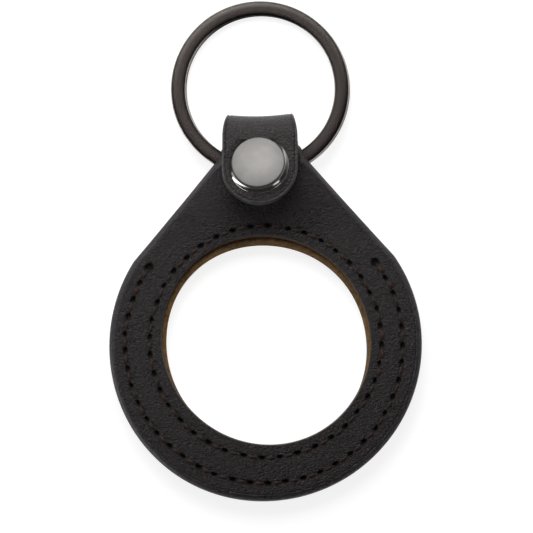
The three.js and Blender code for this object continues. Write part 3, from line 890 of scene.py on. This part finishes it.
cap_profile = [(0.2, 2.15), (1.9, 2.15), (1.9, 2.33), (1.3, 2.35), (1.3, 3.5), (1.3, CAP_SEAT),
               (4.7, CAP_SEAT), (4.97, 3.96), (5.02, 4.01), (5.0, 4.07), (4.94, 4.11), (4.5, 4.55),
               (4.44, 4.63), (4.42, 4.75), (4.43, 5.05), (4.44, 5.3), (4.43, 5.36), (4.39, 5.4)]
cap_profile += [(radius, CAP_TOP - radius ** 2 / CAP_DOME) for radius in CAP_TOP_RADII]
cap_satin = smooth(np.array(cap_profile)[:, 1], *CAP_SATIN_FROM_TO)
cap = lathed("cap", cap_profile, cap_satin, bored=False, segments=96, shape=askew)
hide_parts("snap_cap")
socket_profile = [(3.2, 0.47), (3.3, 0.45), (3.9, 0.45), (4.1, 0.53), (4.2, 0.73), (4.2, 2.6),
                  (4.15, 2.65), (1.45, 2.65), (1.45, 2.35), (3.65, 2.35), (3.65, 0.65),
                  (3.2, 0.65)]
socket = lathed("socket", socket_profile, FITTING_SATIN, bored=True)
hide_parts("snap_socket")
stud_profile = [(1.25, 0.0), (3.1, 0.0), (3.2, 0.1), (3.2, 0.2), (3.1, 0.3), (1.6, 0.32),
                (1.5, 0.42), (1.5, 1.1), (1.6, 1.2), (1.9, 1.36), (2.0, 1.48), (2.0, 1.6),
                (1.9, 1.72), (1.7, 1.8), (1.25, 1.8)]
stud = lathed("stud", stud_profile, FITTING_SATIN, bored=True)
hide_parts("snap_stud")
eyelet_profile = [(0.7, -1.79), (2.8, -1.79), (3.0, -1.65), (3.0, -1.45), (1.1, -1.45),
                  (1.1, 1.81), (1.5, 1.81), (1.6, 1.87), (1.55, 1.98), (1.4, 2.0), (0.8, 2.0),
                  (0.7, 1.9)]
eyelet = lathed("eyelet", eyelet_profile, FITTING_SATIN, bored=True)
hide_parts("snap_eyelet")


def bent_spring():
    """Round wire carried along a U: two straight legs beside the stud's neck and a half circle."""
    half_turn = np.linspace(0, math.pi, 17)
    side = np.linspace(*SPRING_FROM_TO, 6)
    end, side = side[-1], side[:-1]
    x = np.concatenate([0 * side + SPRING_LEG, SPRING_LEG * np.cos(half_turn),
                        0 * side - SPRING_LEG])
    y = np.concatenate([side, end + SPRING_LEG * np.sin(half_turn), side[::-1]])
    tangent = np.gradient(np.stack([x, y], -1), axis=0)
    tangent /= np.linalg.norm(tangent, axis=1)[:, None]
    around = np.linspace(0, TURN, 10, endpoint=False)[None, :]
    points = np.stack([x[:, None] + SPRING_WIRE * np.cos(around) * tangent[:, 1:],
                       y[:, None] - SPRING_WIRE * np.cos(around) * tangent[:, :1],
                       SPRING_LEVEL + SPRING_WIRE * np.sin(around) + 0 * x[:, None]], -1)
    size = points.shape[:2]
    return make_piece("spring", tilted(points, SNAP_AT), grid_faces(*size), tube_ends(*size),
                      {"satin": np.full(size, SPRING_SATIN)})


spring = bent_spring()
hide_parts("snap_spring")
for fitting, body in ((cap, "flap"), (socket, "flap"), (spring, "flap"), (stud, "holder"),
                      (eyelet, "holder")):
    fitting.data.materials.append(snap_finish)
    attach(fitting, body)

# Stage: a white table in a room that is brighter at the ring's end, with soft lights over the
# ring, at the left and at the right. A long lens looks down from high over the pocket's end.
FLOOR_HALF = 3.0
FLOOR_DROP = 2e-5
FLOOR_WHITE = (0.97, 0.97, 0.97, 1)
FLOOR_GLOW = 0.7
FLOOR_SHINE = 1.2
FLOOR_SEEN_BY = "Is Camera Ray", "Is Glossy Ray", "Is Transmission Ray"
ROOM_DIM = 0.05
ROOM_RING_END = 0.6
ROOM_FROM_TO = -0.1, 1.0
VIEW_ELEVATION = math.radians(83)
VIEW_ROLL = math.radians(-1.34)
VIEW_WIDTH = 0.0903
VIEW_TARGET = Vector((0.0004, -0.0031, 0.002))
LENS = 170.0
SENSOR = 36.0

floor_mesh = bpy.data.meshes.new("table")
floor_mesh.from_pydata([(FLOOR_HALF * x, FLOOR_HALF * y, -FLOOR_DROP)
                        for x, y in ((-1, -1), (1, -1), (1, 1), (-1, 1))], [], [(0, 1, 2, 3)])
floor = bpy.data.objects.new("table", floor_mesh)
bpy.context.scene.collection.objects.link(floor)
table_finish, table_shader, table_wire = new_finish(
    "white_table", Base_Color=FLOOR_WHITE, Roughness=0.9, Specular_IOR_Level=0.0)
camera_ray, glossy_ray, clear_ray = (table_wire.node("ShaderNodeLightPath", {}, {}, kind)
                                     for kind in FLOOR_SEEN_BY)
seen = camera_ray + glossy_ray + clear_ray
glow = table_wire.node("ShaderNodeEmission", {}, {"Color": (1, 1, 1, 1), "Strength": FLOOR_SHINE})
lit = Wire(table_finish.node_tree, table_shader.outputs[0])
white = table_wire.node("ShaderNodeMixShader", {}, {0: seen * FLOOR_GLOW, 1: lit, 2: glow})
table_finish.node_tree.links.new(white.socket,
                                 table_finish.node_tree.nodes["Material Output"].inputs["Surface"])
floor_mesh.materials.append(table_finish)

world = bpy.data.worlds.new("studio")
bpy.context.scene.world = world
world.use_nodes = True
room = world.node_tree.nodes["Background"]
room_wire = Wire(world.node_tree)
towards = room_wire.node("ShaderNodeTexCoord", {}, {}, "Generated")
ring_end = room_wire.node("ShaderNodeSeparateXYZ", {}, {0: towards}, "Y").step(*ROOM_FROM_TO)
room.inputs["Color"].default_value = (1, 1, 1, 1)
strength = ROOM_DIM + ring_end * ROOM_RING_END
world.node_tree.links.new(strength.socket, room.inputs["Strength"])


def soft_box(name, place, width, height, radiance):
    """Soft light that faces the holder, whose power is its radiance times pi times its area."""
    light = bpy.data.lights.new(name, "AREA")
    light.shape, light.size, light.size_y = "RECTANGLE", width, height
    light.energy = radiance * math.pi * width * height
    lamp = bpy.data.objects.new(name, light)
    lamp.location = place
    lamp.rotation_mode = "QUATERNION"
    lamp.rotation_quaternion = (-Vector(place)).to_track_quat("-Z", "Y")
    lamp.visible_camera = False
    bpy.context.scene.collection.objects.link(lamp)


soft_box("key_light", (-0.03, 0.138, 0.195), width=0.17, height=0.17, radiance=6.2)
soft_box("left_light", (-0.43, -0.21, 0.085), width=0.46, height=0.12, radiance=4.0)
soft_box("right_light", (0.35, -0.26, 0.22), width=0.16, height=0.08, radiance=2.1)

lens = bpy.data.cameras.new("camera")
lens.lens, lens.sensor_width = LENS, SENSOR
camera = bpy.data.objects.new("camera", lens)
bpy.context.scene.collection.objects.link(camera)
back = Vector((0, -math.cos(VIEW_ELEVATION), math.sin(VIEW_ELEVATION)))
camera.location = VIEW_TARGET + back * (VIEW_WIDTH * LENS / SENSOR)
camera.rotation_mode = "QUATERNION"
camera.rotation_quaternion = (-back).to_track_quat("-Z", "Y") @ Quaternion((0, 0, 1), VIEW_ROLL)
lens.clip_start, lens.clip_end = 0.01, 20
bpy.context.scene.camera = camera
bpy.context.scene.view_settings.view_transform = "Standard"
